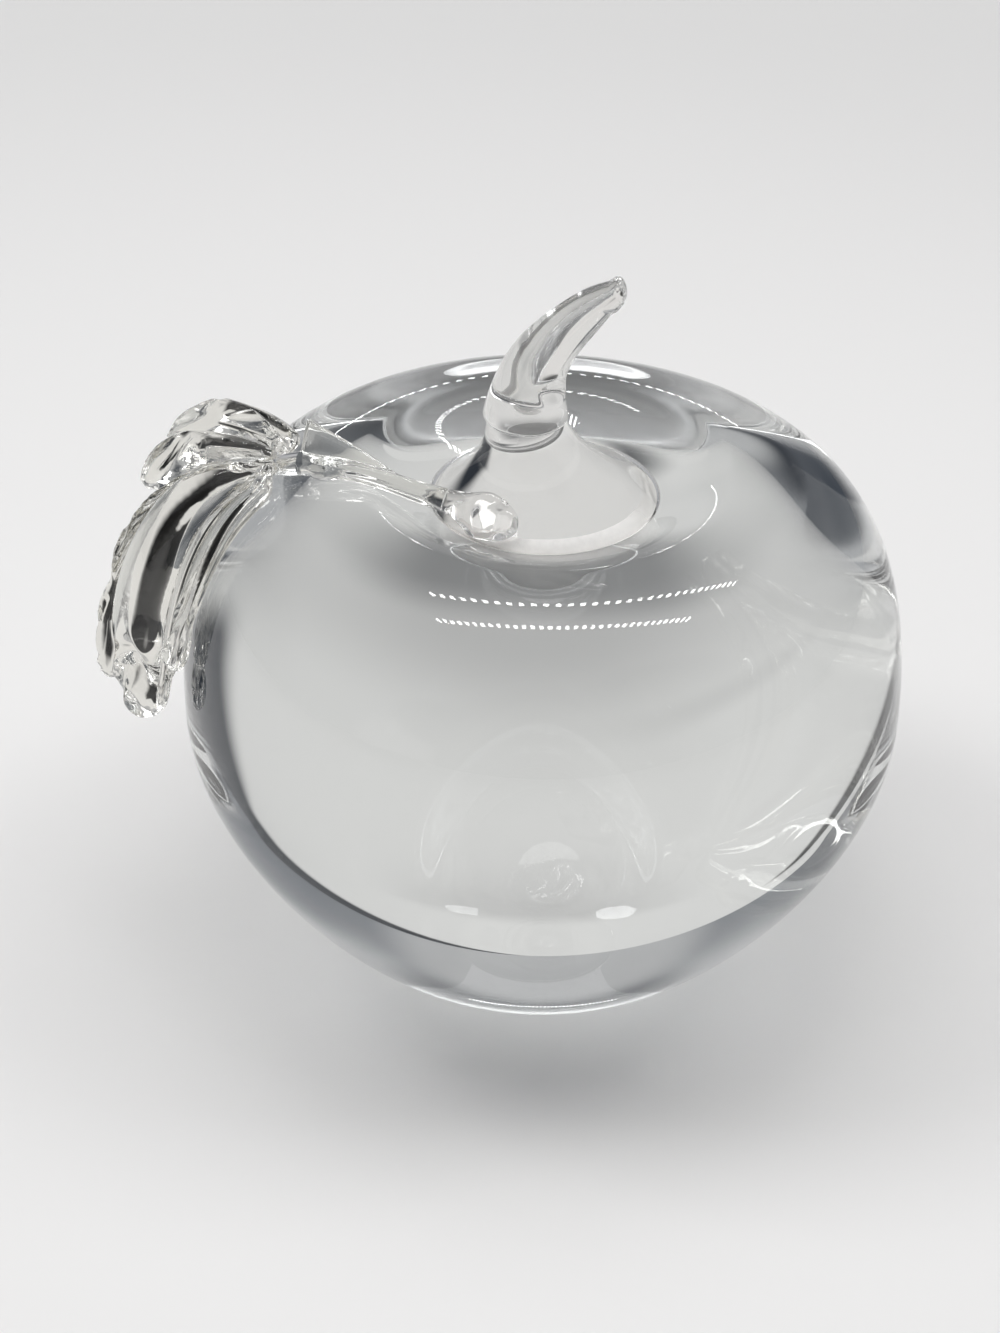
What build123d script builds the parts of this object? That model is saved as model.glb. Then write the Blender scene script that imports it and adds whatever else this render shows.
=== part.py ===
"""Solid glass apple with a drawn stem and a pressed leaf.

Millimetres, +Z up. The origin is the centre of the ground foot, the stem leans
towards +X and the leaf hangs over the -X shoulder.
"""
import os

from build123d import *

# Apple body, a solid of revolution
body_radius = 40.0
widest_height = 31.7
foot_radius = 20.3
crest_height = 59.4
dimple_depth = 5.4
foot_bevel = 0.4
crest_share = 0.515         # of body_radius, the ring where the body is highest
# How far each curve keeps its direction, as a share of the size named beside it
foot_flare_share = 0.155    # of body_radius
foot_lift_share = 0.12      # of widest_height
belly_share = 0.37          # of widest_height
shoulder_share = 0.866      # of crest_height - widest_height
crest_swell_share = 0.5     # of body_radius - crest_radius
dimple_crest_share = 0.73   # of crest_radius
dimple_floor_share = 0.61   # of crest_radius

# Stem seat, the flared gather in the dimple
seat_radius = 12.0
seat_rim_rise = 3.3
seat_flare_rise = 8.4
neck_radius = 4.1
neck_offset = -2.2
seat_base_offset = 0.3
# Flare of the seat, each as (share of its height, share of its spread)
seat_flare_shares = ((0.0, 1.0), (0.1, 0.93), (0.25, 0.68), (0.45, 0.38), (0.7, 0.14), (1.0, 0.0))

# Stem, a tapering rod that curls towards +X
stem_rise = 14.5
stem_reach = 9.1
lip_radius = 4.4
lip_height = 1.6
lip_round_share = 0.44    # of lip_height
tip_radius = 1.4
stem_tip_slant = 20.0
stem_tip_climb_share = 0.5    # rise of the stem at its tip, of its run there
# Centre line of the stem, each as (share of its reach, share of its rise)
stem_path_shares = ((0.0, 0.0), (0.02, 0.165), (0.2, 0.49), (0.54, 0.75), (0.79, 0.9), (1.0, 1.0))
# Thickness of the stem, each as (share of its length, share of neck_radius - tip_radius)
stem_taper_shares = ((0.0, 1.0), (0.2, 0.89), (0.45, 0.67), (0.68, 0.46), (0.87, 0.24))

# Pad that holds the leaf stalk, pressed on the slope of the seat
pad_bearing = 229.0
pad_slope = 50.0
pad_inset = 1.7
pad_rise = 1.7
pad_length = 9.5
pad_width = 5.2
pad_thickness = 1.5
pad_edge_round_share = 0.6    # of pad_thickness

# Stalk of the leaf, a drawn thread from the pad to the root of the leaf
leaf_root_outset = 5.4
leaf_root_shift = -1.0
leaf_root_rise = 1.2
stalk_grip = 2.8
stalk_root_radius = 1.3
stalk_middle_radius = 1.0
stalk_pad_radius = 1.4
stalk_arch = 0.8
# Places along the stalk, each as (share of its run, share of its arch)
stalk_arch_shares = ((0.3, 0.5), (0.65, 1.0))

# Leaf, a fan of pressed ribs that hangs over the shoulder
leaf_overhang = 7.5
leaf_drop = 25.5
leaf_side = 13.0
rib_half_width = 2.7
rib_half_thickness = 1.5
# Points of each rib after the root, as shares of (leaf_reach, leaf_side, leaf_drop)
rib_point_shares = (
    ((0.22, 0.60, 0.0), (0.48, 1.0, 0.04)),
    ((0.38, 0.52, 0.03), (0.72, 0.85, 0.12)),
    ((0.42, 0.30, 0.05), (0.80, 0.46, 0.22)),
    ((0.66, 0.08, 0.20), (0.90, -0.08, 0.48), (0.99, -0.25, 0.90)),
    ((0.52, -0.12, 0.13), (0.76, -0.27, 0.42), (0.88, -0.38, 0.95)),
    ((0.40, -0.26, 0.11), (0.64, -0.43, 0.42), (0.78, -0.52, 1.0)),
    ((0.34, -0.34, 0.10), (0.56, -0.56, 0.41), (0.69, -0.68, 0.92)),
    ((0.27, -0.42, 0.10), (0.47, -0.69, 0.38), (0.60, -0.85, 0.70)),
)
# Section of a rib, each as (share of its length, share of its width, share of its thickness)
rib_section_shares = (
    (0.0, 0.48, 0.8), (0.2, 0.6, 0.85), (0.5, 0.92, 1.0), (0.75, 1.0, 1.0), (0.92, 0.75, 0.8), (1.0, 0.3, 0.35),
)

# Places that follow from the sizes above
crest_radius = crest_share * body_radius
dimple_floor_height = crest_height - dimple_depth
seat_rim_height = dimple_floor_height + seat_rim_rise
neck_height = seat_rim_height + seat_flare_rise
leaf_root = Vector(-crest_radius - leaf_root_outset, leaf_root_shift, crest_height + leaf_root_rise)
leaf_reach = body_radius + leaf_overhang + leaf_root.X

os.makedirs("parts", exist_ok=True)


def section_plane(path, share, up):
    """Plane across a path, with its second axis as near to `up` as it can be."""
    origin = path.position_at(share)
    along = path.tangent_at(share)
    across = along.cross(up)
    return Plane(origin=origin, x_dir=across, z_dir=along)


# Apple body
with BuildPart() as apple_body:
    with BuildSketch(Plane.XZ):
        with BuildLine():
            Line((0, 0), (foot_radius - foot_bevel, 0))
            Line((foot_radius - foot_bevel, 0), (foot_radius, foot_bevel))
            Bezier(
                (foot_radius, foot_bevel),
                (foot_radius + foot_flare_share * body_radius, foot_lift_share * widest_height),
                (body_radius, widest_height - belly_share * widest_height),
                (body_radius, widest_height),
            )
            Bezier(
                (body_radius, widest_height),
                (body_radius, widest_height + shoulder_share * (crest_height - widest_height)),
                (crest_radius + crest_swell_share * (body_radius - crest_radius), crest_height),
                (crest_radius, crest_height),
            )
            Bezier(
                (crest_radius, crest_height),
                (dimple_crest_share * crest_radius, crest_height),
                (dimple_floor_share * crest_radius, dimple_floor_height),
                (0, dimple_floor_height),
            )
            Line((0, dimple_floor_height), (0, 0))
        make_face()
    revolve(axis=Axis.Z)

# Stem seat
with BuildPart() as stem_seat:
    with BuildSketch(Plane.XY.offset(dimple_floor_height)):
        with Locations((seat_base_offset, 0)):
            Circle(seat_radius)
    extrude(amount=seat_rim_height - dimple_floor_height)
    for rise_share, spread_share in seat_flare_shares:
        with BuildSketch(Plane.XY.offset(seat_rim_height + rise_share * seat_flare_rise)):
            with Locations((seat_base_offset + rise_share * (neck_offset - seat_base_offset), 0)):
                Circle(neck_radius + spread_share * (seat_radius - neck_radius))
    loft()
    add(apple_body.part, mode=Mode.SUBTRACT)

# Stem
stem_points = [
    (neck_offset + reach_share * stem_reach, 0, neck_height + rise_share * stem_rise)
    for reach_share, rise_share in stem_path_shares
]
stem_path = Spline(*stem_points, tangents=((0, 0, 1), (1, 0, stem_tip_climb_share)))
with BuildPart() as stem:
    with BuildSketch(Plane.XY.offset(neck_height)):
        with Locations((neck_offset, 0)):
            Circle(lip_radius)
    extrude(amount=lip_height)
    fillet(stem.edges().filter_by(GeomType.CIRCLE), lip_round_share * lip_height)
    for length_share, thickness_share in stem_taper_shares:
        with BuildSketch(section_plane(stem_path, length_share, Vector(0, 1, 0))):
            Circle(tip_radius + thickness_share * (neck_radius - tip_radius))
    with BuildSketch(section_plane(stem_path, 1, Vector(0, 1, 0)).rotated((0, stem_tip_slant, 0))):
        Circle(tip_radius)
    loft()

# Leaf pad
outward = Vector(1, 0, 0).rotate(Axis.Z, pad_bearing)
pad_plane = Plane(
    origin=Vector(seat_base_offset, 0, seat_rim_height + pad_rise) + outward * (seat_radius - pad_inset),
    x_dir=outward.rotate(Axis.Z, -90),
    z_dir=outward.rotate(Axis((0, 0, 0), outward.cross(Vector(0, 0, 1))), pad_slope),
)
with BuildPart() as leaf_pad:
    with BuildSketch(pad_plane.offset(-pad_thickness)):
        Ellipse(pad_length / 2, pad_width / 2)
    extrude(amount=2 * pad_thickness)
    pad_top = leaf_pad.faces().sort_by(Axis(pad_plane.origin, pad_plane.z_dir))[-1]
    fillet(pad_top.edges(), pad_edge_round_share * pad_thickness)
    add(apple_body.part, mode=Mode.SUBTRACT)
    add(stem_seat.part, mode=Mode.SUBTRACT)

# Leaf stalk
stalk_start = pad_plane.from_local_coords(Vector(stalk_grip, 0, 0))
stalk_points = [stalk_start]
for run_share, arch_share in stalk_arch_shares:
    stalk_points.append(stalk_start + (leaf_root - stalk_start) * run_share + Vector(0, 0, arch_share * stalk_arch))
stalk_points.append(leaf_root)
stalk_path = Spline(*stalk_points)
with BuildPart() as leaf_stalk:
    for share, radius in ((0, stalk_pad_radius), (0.5, stalk_middle_radius), (1, stalk_root_radius)):
        with BuildSketch(section_plane(stalk_path, share, Vector(0, 0, 1))):
            Circle(radius)
    loft()
    add(leaf_pad.part, mode=Mode.SUBTRACT)
    add(stem_seat.part, mode=Mode.SUBTRACT)

# Leaf
body_middle = Vector(0, 0, widest_height)
with BuildPart() as leaf:
    for point_shares in rib_point_shares:
        rib_points = [leaf_root] + [
            leaf_root + Vector(-reach * leaf_reach, side * leaf_side, -drop * leaf_drop)
            for reach, side, drop in point_shares
        ]
        rib_path = Spline(*rib_points)
        for length_share, width_share, thickness_share in rib_section_shares:
            up = rib_path.position_at(length_share) - body_middle
            with BuildSketch(section_plane(rib_path, length_share, up)):
                Ellipse(width_share * rib_half_width, thickness_share * rib_half_thickness)
        loft()
    add(leaf_stalk.part, mode=Mode.SUBTRACT)
    add(apple_body.part, mode=Mode.SUBTRACT)

for piece, name in (
    (apple_body, "apple_body"),
    (stem_seat, "stem_seat"),
    (stem, "stem"),
    (leaf_pad, "leaf_pad"),
    (leaf_stalk, "leaf_stalk"),
    (leaf, "leaf"),
):
    piece.part.label = name
    export_step(piece.part, f"parts/{name}.step")
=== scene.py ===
"""Studio picture of a solid glass apple with a drawn stem and a pressed leaf.

The surfaces are worked out in millimetres with numpy and put into meshes in
metres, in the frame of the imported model: +Z up, the centre of the foot at the
origin, the leaf over the -X shoulder.
"""
import logging
import math
from dataclasses import dataclass, field
from enum import Enum

import bpy
import numpy as np
from mathutils import Matrix, Vector


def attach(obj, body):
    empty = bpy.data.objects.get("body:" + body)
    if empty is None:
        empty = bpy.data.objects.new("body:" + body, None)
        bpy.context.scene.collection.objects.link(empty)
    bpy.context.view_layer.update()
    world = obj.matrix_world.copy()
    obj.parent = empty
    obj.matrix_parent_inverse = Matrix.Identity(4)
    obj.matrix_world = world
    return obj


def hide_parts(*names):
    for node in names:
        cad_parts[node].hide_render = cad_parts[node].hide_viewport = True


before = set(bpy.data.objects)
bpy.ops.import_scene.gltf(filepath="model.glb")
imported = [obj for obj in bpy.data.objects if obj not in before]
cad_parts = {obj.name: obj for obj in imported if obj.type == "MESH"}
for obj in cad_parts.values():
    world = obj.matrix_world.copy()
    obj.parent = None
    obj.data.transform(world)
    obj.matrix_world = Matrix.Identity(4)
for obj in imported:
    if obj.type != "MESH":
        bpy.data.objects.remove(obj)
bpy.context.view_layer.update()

MM = 0.001
LOG = logging.getLogger("glass_apple")
UP = np.array((0.0, 0.0, 1.0))
BACK = np.array((0.0, 1.0, 0.0))
SHARP_ANGLE = math.radians(55.0)
GLASS_IOR = 1.52
TINY = 1e-9     # keeps lengths and angles off nothing
SMOOTH = {"interpolation_type": "SMOOTHSTEP"}
# Light crosses many skins of glass before it leaves
BOUNCES = {"max_bounces": 32, "transmission_bounces": 24, "glossy_bounces": 16, "transparent_max_bounces": 32}


class Closing(Enum):
    """Ways in which the last loop of a skin is closed."""

    POLE = "pole"
    SEAM = "seam"


class Dress(Enum):
    """Which finish a face wears, as its place in the piece's list of materials."""

    GLASS = 0
    FUSED = 1
    EDGE = 2


class Melt(Enum):
    """Colour of the clear glass in each bit, as sRGB: what it keeps of white light."""

    BODY = "#f1f3f3"
    SEAT = "#fbfaf9"
    LEAF = "#fbfaf6"


# Working with numbers


def linear(hex_colour: str) -> tuple[float, float, float, float]:
    """Turn an sRGB hex colour into a linear one.

    Args:
        hex_colour: Colour as #rrggbb.

    Returns:
        Red, green, blue and alpha between 0 and 1.
    """
    levels = np.array([int(hex_colour[i : i + 2], 16) for i in (1, 3, 5)]) / 255.0
    levels = np.where(levels <= 0.04045, levels / 12.92, ((levels + 0.055) / 1.055) ** 2.4)
    return (*levels.tolist(), 1.0)


def unit(vectors: np.ndarray) -> np.ndarray:
    """Each vector over its own length."""
    return vectors / np.linalg.norm(vectors, axis=-1, keepdims=True)


def ease(values: np.ndarray, low: float, high: float) -> np.ndarray:
    """Rise smoothly from 0 to 1 between two values: 3 t squared less 2 t cubed.

    Args:
        values: Where the rise is read.
        low: Value at which the rise starts.
        high: Value at which it ends.

    Returns:
        The share of the rise at each value.
    """
    share = np.clip((values - low) / (high - low), 0.0, 1.0)
    return share * share * (3.0 - 2.0 * share)


def bezier(corners: tuple, count: int) -> np.ndarray:
    """Lay points along a cubic Bezier curve.

    The point at t is (1-t)^3 a + 3 (1-t)^2 t b + 3 (1-t) t^2 c + t^3 d.

    Args:
        corners: The four control points.
        count: How many points to lay.

    Returns:
        The points, one a row.
    """
    t = np.linspace(0.0, 1.0, count)[:, None]
    a, b, c, d = np.array(corners, float)
    return (1 - t) ** 3 * a + 3 * (1 - t) ** 2 * t * b + 3 * (1 - t) * t**2 * c + t**3 * d


class SmoothCurve:
    """Cubic curve through given values, with matching slopes and bends at each.

    Between two knots the value is the Hermite cubic of the values and slopes
    there. The slopes solve the usual three-term equations, with straight ends.
    """

    def __init__(self, knots: np.ndarray | tuple, values: np.ndarray | tuple) -> None:
        """Work out the slopes.

        Args:
            knots: Rising places of the values.
            values: Values at the knots, of any shape after the first axis.
        """
        self.knots = np.asarray(knots, float)
        self.values = np.asarray(values, float)
        count = len(self.knots)
        steps = np.diff(self.knots)
        shape = (-1,) + (1,) * (self.values.ndim - 1)
        rises = np.diff(self.values, axis=0) / steps.reshape(shape)
        matrix = np.zeros((count, count))
        known = np.zeros_like(self.values)
        inner = np.arange(1, count - 1)
        matrix[inner, inner - 1] = steps[1:]
        matrix[inner, inner] = 2.0 * (steps[:-1] + steps[1:])
        matrix[inner, inner + 1] = steps[:-1]
        known[1:-1] = 3.0 * (steps[1:].reshape(shape) * rises[:-1] + steps[:-1].reshape(shape) * rises[1:])
        matrix[0, :2] = matrix[-1, -1:-3:-1] = (2.0, 1.0)
        known[0], known[-1] = 3.0 * rises[0], 3.0 * rises[-1]
        self.slopes = np.linalg.solve(matrix, known.reshape(count, -1)).reshape(self.values.shape)

    @classmethod
    def through(cls, points: np.ndarray) -> "SmoothCurve":
        """Curve through points in space, its knots the share of the way from point to point."""
        points = np.asarray(points, float)
        gaps = np.linalg.norm(np.diff(points, axis=0), axis=1)
        return cls(np.concatenate(([0.0], np.cumsum(gaps))) / gaps.sum(), points)

    def at(self, places: np.ndarray) -> np.ndarray:
        """Read the curve.

        Args:
            places: Where to read it, on the scale of the knots.

        Returns:
            The values there.
        """
        places = np.asarray(places, float)
        left = np.clip(np.searchsorted(self.knots, places, side="right") - 1, 0, len(self.knots) - 2)
        shape = places.shape + (1,) * (self.values.ndim - 1)
        step = (self.knots[left + 1] - self.knots[left]).reshape(shape)
        t = (places - self.knots[left]).reshape(shape) / step
        return (
            (2 * t**3 - 3 * t**2 + 1) * self.values[left]
            + (t**3 - 2 * t**2 + t) * step * self.slopes[left]
            + (3 * t**2 - 2 * t**3) * self.values[left + 1]
            + (t**3 - t**2) * step * self.slopes[left + 1]
        )


def loop(centre: np.ndarray, side: np.ndarray, top: np.ndarray, turns: np.ndarray) -> np.ndarray:
    """Lay points round a centre: centre + cos(turn) side + sin(turn) top.

    Args:
        centre: Middle of the loop, or one for each loop.
        side: Arm of the loop at turn 0, its length the radius.
        top: Arm of the loop at a quarter turn.
        turns: Angles in radians.

    Returns:
        The points, with the angles along the second last axis.
    """
    turns = turns[:, None]
    return centre[..., None, :] + np.cos(turns) * side[..., None, :] + np.sin(turns) * top[..., None, :]


def turns_of(count: int) -> np.ndarray:
    """Angles of a full turn in equal steps, without the last."""
    return np.arange(count) * (2.0 * np.pi / count)


# Meshes


@dataclass
class Skin:
    """Closed surface laid through loops of points, in millimetres.

    Attributes:
        loops: Points as (loop, place on the loop, axis).
        start: Point that closes the first loop.
        end: Point that closes the last loop, not used by a seam.
        closing: How the last loop is closed.
        fused: For the start, each gap between loops and the end, whether the
            faces there lie inside a joint with the next piece.
        edge: The same, for faces of the ground foot or the rolled rim.
    """

    loops: np.ndarray
    start: np.ndarray
    end: np.ndarray | None = None
    closing: Closing = Closing.POLE
    fused: np.ndarray | None = None
    edge: np.ndarray | None = None

    def faces(self) -> tuple[np.ndarray, np.ndarray, np.ndarray]:
        """Number the faces of the skin.

        Returns:
            The points, the faces as rows of four (a triangle repeats its last
            corner) and the dress of each face.
        """
        count, around, _ = self.loops.shape
        points = self.loops.reshape(-1, 3)
        number = np.arange(count * around).reshape(count, around)
        ahead = np.roll(number, -1, axis=1)
        pole = np.full(around, len(points))
        points = np.vstack((points, self.start))
        groups = [np.stack((pole, ahead[0], number[0], number[0]), axis=-1)]
        groups += list(np.stack((number[:-1], ahead[:-1], ahead[1:], number[1:]), axis=-1))
        if self.closing is Closing.POLE:
            pole = np.full(around, len(points))
            points = np.vstack((points, self.end))
            groups.append(np.stack((pole, number[-1], ahead[-1], ahead[-1]), axis=-1))
        else:
            last, half = number[-1], around // 2
            near, far = last[:half], np.concatenate((last[:1], last[:half:-1]))
            near_ahead, far_ahead = np.append(near[1:], last[half]), np.append(far[1:], last[half])
            seam = np.stack((near, near_ahead, far_ahead, far), axis=-1)
            seam[0, 3], seam[-1] = seam[0, 2], (seam[-1, 0], seam[-1, 1], seam[-1, 3], seam[-1, 3])
            groups.append(seam)
        kinds = np.full(count + 1, Dress.GLASS.value)
        for marked, kind in ((self.fused, Dress.FUSED), (self.edge, Dress.EDGE)):
            if marked is not None:
                kinds[marked] = kind.value
        dress = np.repeat(kinds, [len(group) for group in groups])
        return points, np.vstack(groups), dress


def signed_volume(points: np.ndarray, faces: np.ndarray) -> float:
    """Volume inside the faces, below zero where they point inwards."""
    a, b, c, d = (points[faces[:, i]] for i in range(4))
    return float((np.sum(a * np.cross(b, c)) + np.sum(a * np.cross(c, d))) / 6.0)


def make_piece(name: str, skins: list[Skin], materials: list[bpy.types.Material]) -> bpy.types.Object:
    """Put skins into one mesh object with its faces pointing outwards.

    Args:
        name: Name of the piece.
        skins: Its closed surfaces.
        materials: Its finishes, in the order of Dress.

    Returns:
        The new object, linked to the scene.
    """
    all_points, all_faces, all_dress, start = [], [], [], 0
    for skin in skins:
        points, faces, dress = skin.faces()
        if signed_volume(points, faces) < 0.0:
            # Turned round, a triangle has its repeated corner in front, which goes back to the end
            faces = faces[:, ::-1]
            faces = np.where(faces[:, :1] == faces[:, 1:2], np.roll(faces, -2, axis=1), faces)
        all_points.append(points * MM)
        all_faces.append(faces + start)
        all_dress.append(dress)
        start += len(points)
    points, faces, dress = np.vstack(all_points), np.vstack(all_faces), np.concatenate(all_dress)
    sides = np.where(faces[:, 2] == faces[:, 3], 3, 4)
    corners = faces[np.arange(4)[None] < sides[:, None]]
    mesh = bpy.data.meshes.new(name)
    mesh.vertices.add(len(points))
    mesh.vertices.foreach_set("co", points.ravel())
    mesh.loops.add(len(corners))
    mesh.loops.foreach_set("vertex_index", corners)
    mesh.polygons.add(len(faces))
    mesh.polygons.foreach_set("loop_start", np.concatenate(([0], np.cumsum(sides)[:-1])))
    mesh.polygons.foreach_set("material_index", dress)
    mesh.polygons.foreach_set("use_smooth", np.ones(len(faces), bool))
    mesh.update(calc_edges=True)
    mesh.set_sharp_from_angle(angle=SHARP_ANGLE)
    for material in materials:
        mesh.materials.append(material)
    piece = bpy.data.objects.new(name, mesh)
    bpy.context.scene.collection.objects.link(piece)
    return piece


# Finishes


def add_node(tree: bpy.types.NodeTree, kind: str, settings: dict | None = None, **inputs) -> bpy.types.Node:
    """Add a node with its settings, values and links.

    Args:
        tree: Node tree to add to.
        kind: Blender's name of the node type.
        settings: Properties of the node.
        **inputs: Value or source socket of each input, its name written with
            _ for a space, or i and a number for an input without its own name.

    Returns:
        The new node.
    """
    node = tree.nodes.new(kind)
    for key, value in (settings or {}).items():
        setattr(node, key, value)
    for key, value in inputs.items():
        numbered = key[0] == "i" and key[1:].isdigit()
        socket = node.inputs[int(key[1:])] if numbered else node.inputs[key.replace("_", " ")]
        if isinstance(value, bpy.types.NodeSocket):
            tree.links.new(value, socket)
        else:
            socket.default_value = value
    return node


def new_material(name: str, **inputs) -> tuple[bpy.types.Material, bpy.types.NodeTree, bpy.types.Node]:
    """Make a material with its main shader and the shader's plain values.

    Args:
        name: Name of the material.
        **inputs: Value of each input of the shader, its name with _ for a space.

    Returns:
        The material, its node tree and the shader.
    """
    material = bpy.data.materials.new(name)
    material.use_nodes = True
    shader = material.node_tree.nodes["Principled BSDF"]
    for key, value in inputs.items():
        shader.inputs[key.replace("_", " ")].default_value = value
    return material, material.node_tree, shader


@dataclass(frozen=True)
class ClearGlass:
    """Clear soda-lime glass, shaped hot by hand and left with its fire polish.

    The skin is as smooth as water and bends the light like a lens. Slow swells
    from the hand tools, a few millimetres wide, make its highlights waver.
    """

    name: str
    swell_width: float              # mm
    melt: Melt
    swell_height: float = 0.004     # mm
    seed: float = 0.0

    def build(self) -> bpy.types.Material:
        """Smooth glass with the swells as a slow bump."""
        material, tree, shader = new_material(
            self.name,
            Base_Color=linear(self.melt.value), Transmission_Weight=1.0, IOR=GLASS_IOR, Roughness=0.0,
        )
        place = add_node(tree, "ShaderNodeTexCoord").outputs["Object"]
        swell = add_node(
            tree, "ShaderNodeTexNoise", {"noise_dimensions": "4D"},
            Vector=place, W=self.seed, Scale=1.0 / (self.swell_width * MM), Detail=1.0, Roughness=0.4,
        )
        bump = add_node(
            tree, "ShaderNodeBump", Height=swell.outputs[0], Strength=1.0, Distance=self.swell_height * MM,
        )
        tree.links.new(bump.outputs[0], shader.inputs["Normal"])
        return material


@dataclass(frozen=True)
class FusedJoint:
    """Place where two hot gathers of the same glass ran together.

    Nothing of it shows: the light goes through as if there were no joint.
    """

    name: str = "fused_glass_joint"

    def build(self) -> bpy.types.Material:
        """Material that lets all the light through unbent."""
        material, tree, _ = new_material(self.name)
        tree.nodes.clear()
        clear = add_node(tree, "ShaderNodeBsdfTransparent", Color=(1.0, 1.0, 1.0, 1.0))
        add_node(tree, "ShaderNodeOutputMaterial", Surface=clear.outputs[0])
        return material


@dataclass(frozen=True)
class GroundFoot:
    """Foot of the glass, ground flat on a wheel with fine grit and water.

    The grit leaves it dull, so that it blurs what the glass mirrors in it, with
    arcs of slightly coarser scratches round its middle. They are drawn as coarse
    as they need to be to show.
    """

    name: str = "fine_ground_glass_foot"
    tint: str = "#b2b2b0"
    roughness: tuple = (0.3, 0.42)
    ring_spacing: float = 2.1991    # mm

    def build(self) -> bpy.types.Material:
        """Material whose roughness varies in rings from the grinding."""
        material, tree, shader = new_material(
            self.name, Base_Color=linear(self.tint), Transmission_Weight=1.0, IOR=GLASS_IOR,
        )
        place = add_node(tree, "ShaderNodeTexCoord").outputs["Object"]
        # At a scale of 1 the texture's rings are tau / 20 apart
        scale = math.tau / 20.0 / (self.ring_spacing * MM)
        rings = add_node(
            tree, "ShaderNodeTexWave", {"wave_type": "RINGS", "rings_direction": "Z"},
            Vector=place, Scale=scale, Distortion=4.0, Detail=2.0, Detail_Scale=2.0,
        )
        low, high = self.roughness
        rough = add_node(tree, "ShaderNodeMapRange", Value=rings.outputs["Fac"], To_Min=low, To_Max=high)
        tree.links.new(rough.outputs[0], shader.inputs["Roughness"])
        return material


@dataclass(frozen=True)
class PaintedRimHighlight:
    """Rolled edge of a hot gather, painted white as a highlight.

    A painted highlight: the rim is made partly white, unevenly with a noise, so that it shows as a soft white
    band at the front, standing in for the bright band that the glass shows there.
    """

    name: str = "rolled_rim_painted_highlight"
    # White of the painted highlight
    colour: str = "#f7f5f2"
    highlight_share: tuple = (0.92, 1.0)
    speckle_width: float = 0.9         # mm
    noise_spread: tuple = (0.35, 0.65)
    fade: tuple = (-8.5, -3.0)      # mm towards the back, where the painted highlight stops

    def build(self) -> bpy.types.Material:
        """Material between glass and the painted white highlight, uneven with a noise."""
        material, tree, shader = new_material(
            self.name, Base_Color=linear(self.colour), IOR=GLASS_IOR, Roughness=0.12,
        )
        place = add_node(tree, "ShaderNodeTexCoord").outputs["Object"]
        speckle = add_node(
            tree, "ShaderNodeTexNoise",
            Vector=place, Scale=1.0 / (self.speckle_width * MM), Detail=3.0, Roughness=0.6,
        )
        (noise_from, noise_to), (low, high) = self.noise_spread, self.highlight_share
        clear = add_node(
            tree, "ShaderNodeMapRange", Value=speckle.outputs[0],
            From_Min=noise_from, From_Max=noise_to, To_Min=1.0 - high, To_Max=1.0 - low,
        )
        axes = add_node(tree, "ShaderNodeSeparateXYZ", Vector=place)
        front, back = self.fade
        faded = add_node(
            tree, "ShaderNodeMapRange", SMOOTH, Value=axes.outputs["Y"],
            From_Min=front * MM, From_Max=back * MM,
        )
        glassy = add_node(
            tree, "ShaderNodeMath", {"operation": "MAXIMUM"}, i0=clear.outputs[0], i1=faded.outputs[0],
        )
        tree.links.new(glassy.outputs[0], shader.inputs["Transmission Weight"])
        return material


@dataclass
class Workshop:
    """The finishes that the pieces share, each made once."""

    body_glass: bpy.types.Material = field(init=False)
    ground_foot: bpy.types.Material = field(init=False)
    seat_glass: bpy.types.Material = field(init=False)
    stem_glass: bpy.types.Material = field(init=False)
    leaf_glass: bpy.types.Material = field(init=False)
    painted_rim_highlight: bpy.types.Material = field(init=False)
    joint: bpy.types.Material = field(init=False)

    def __post_init__(self) -> None:
        """Make the materials."""
        self.body_glass = ClearGlass("fire_polished_clear_glass", 14.0, Melt.BODY, 0.006).build()
        self.seat_glass = ClearGlass("gathered_clear_glass", 5.0, Melt.SEAT, seed=2.0).build()
        self.stem_glass = ClearGlass("drawn_clear_glass", 2.4, Melt.SEAT, 0.03, seed=3.0).build()
        self.leaf_glass = ClearGlass("pressed_clear_glass", 4.2, Melt.LEAF, 0.05, seed=5.0).build()
        self.joint = FusedJoint().build()
        self.ground_foot = GroundFoot().build()
        self.painted_rim_highlight = PaintedRimHighlight().build()


# The apple


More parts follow.
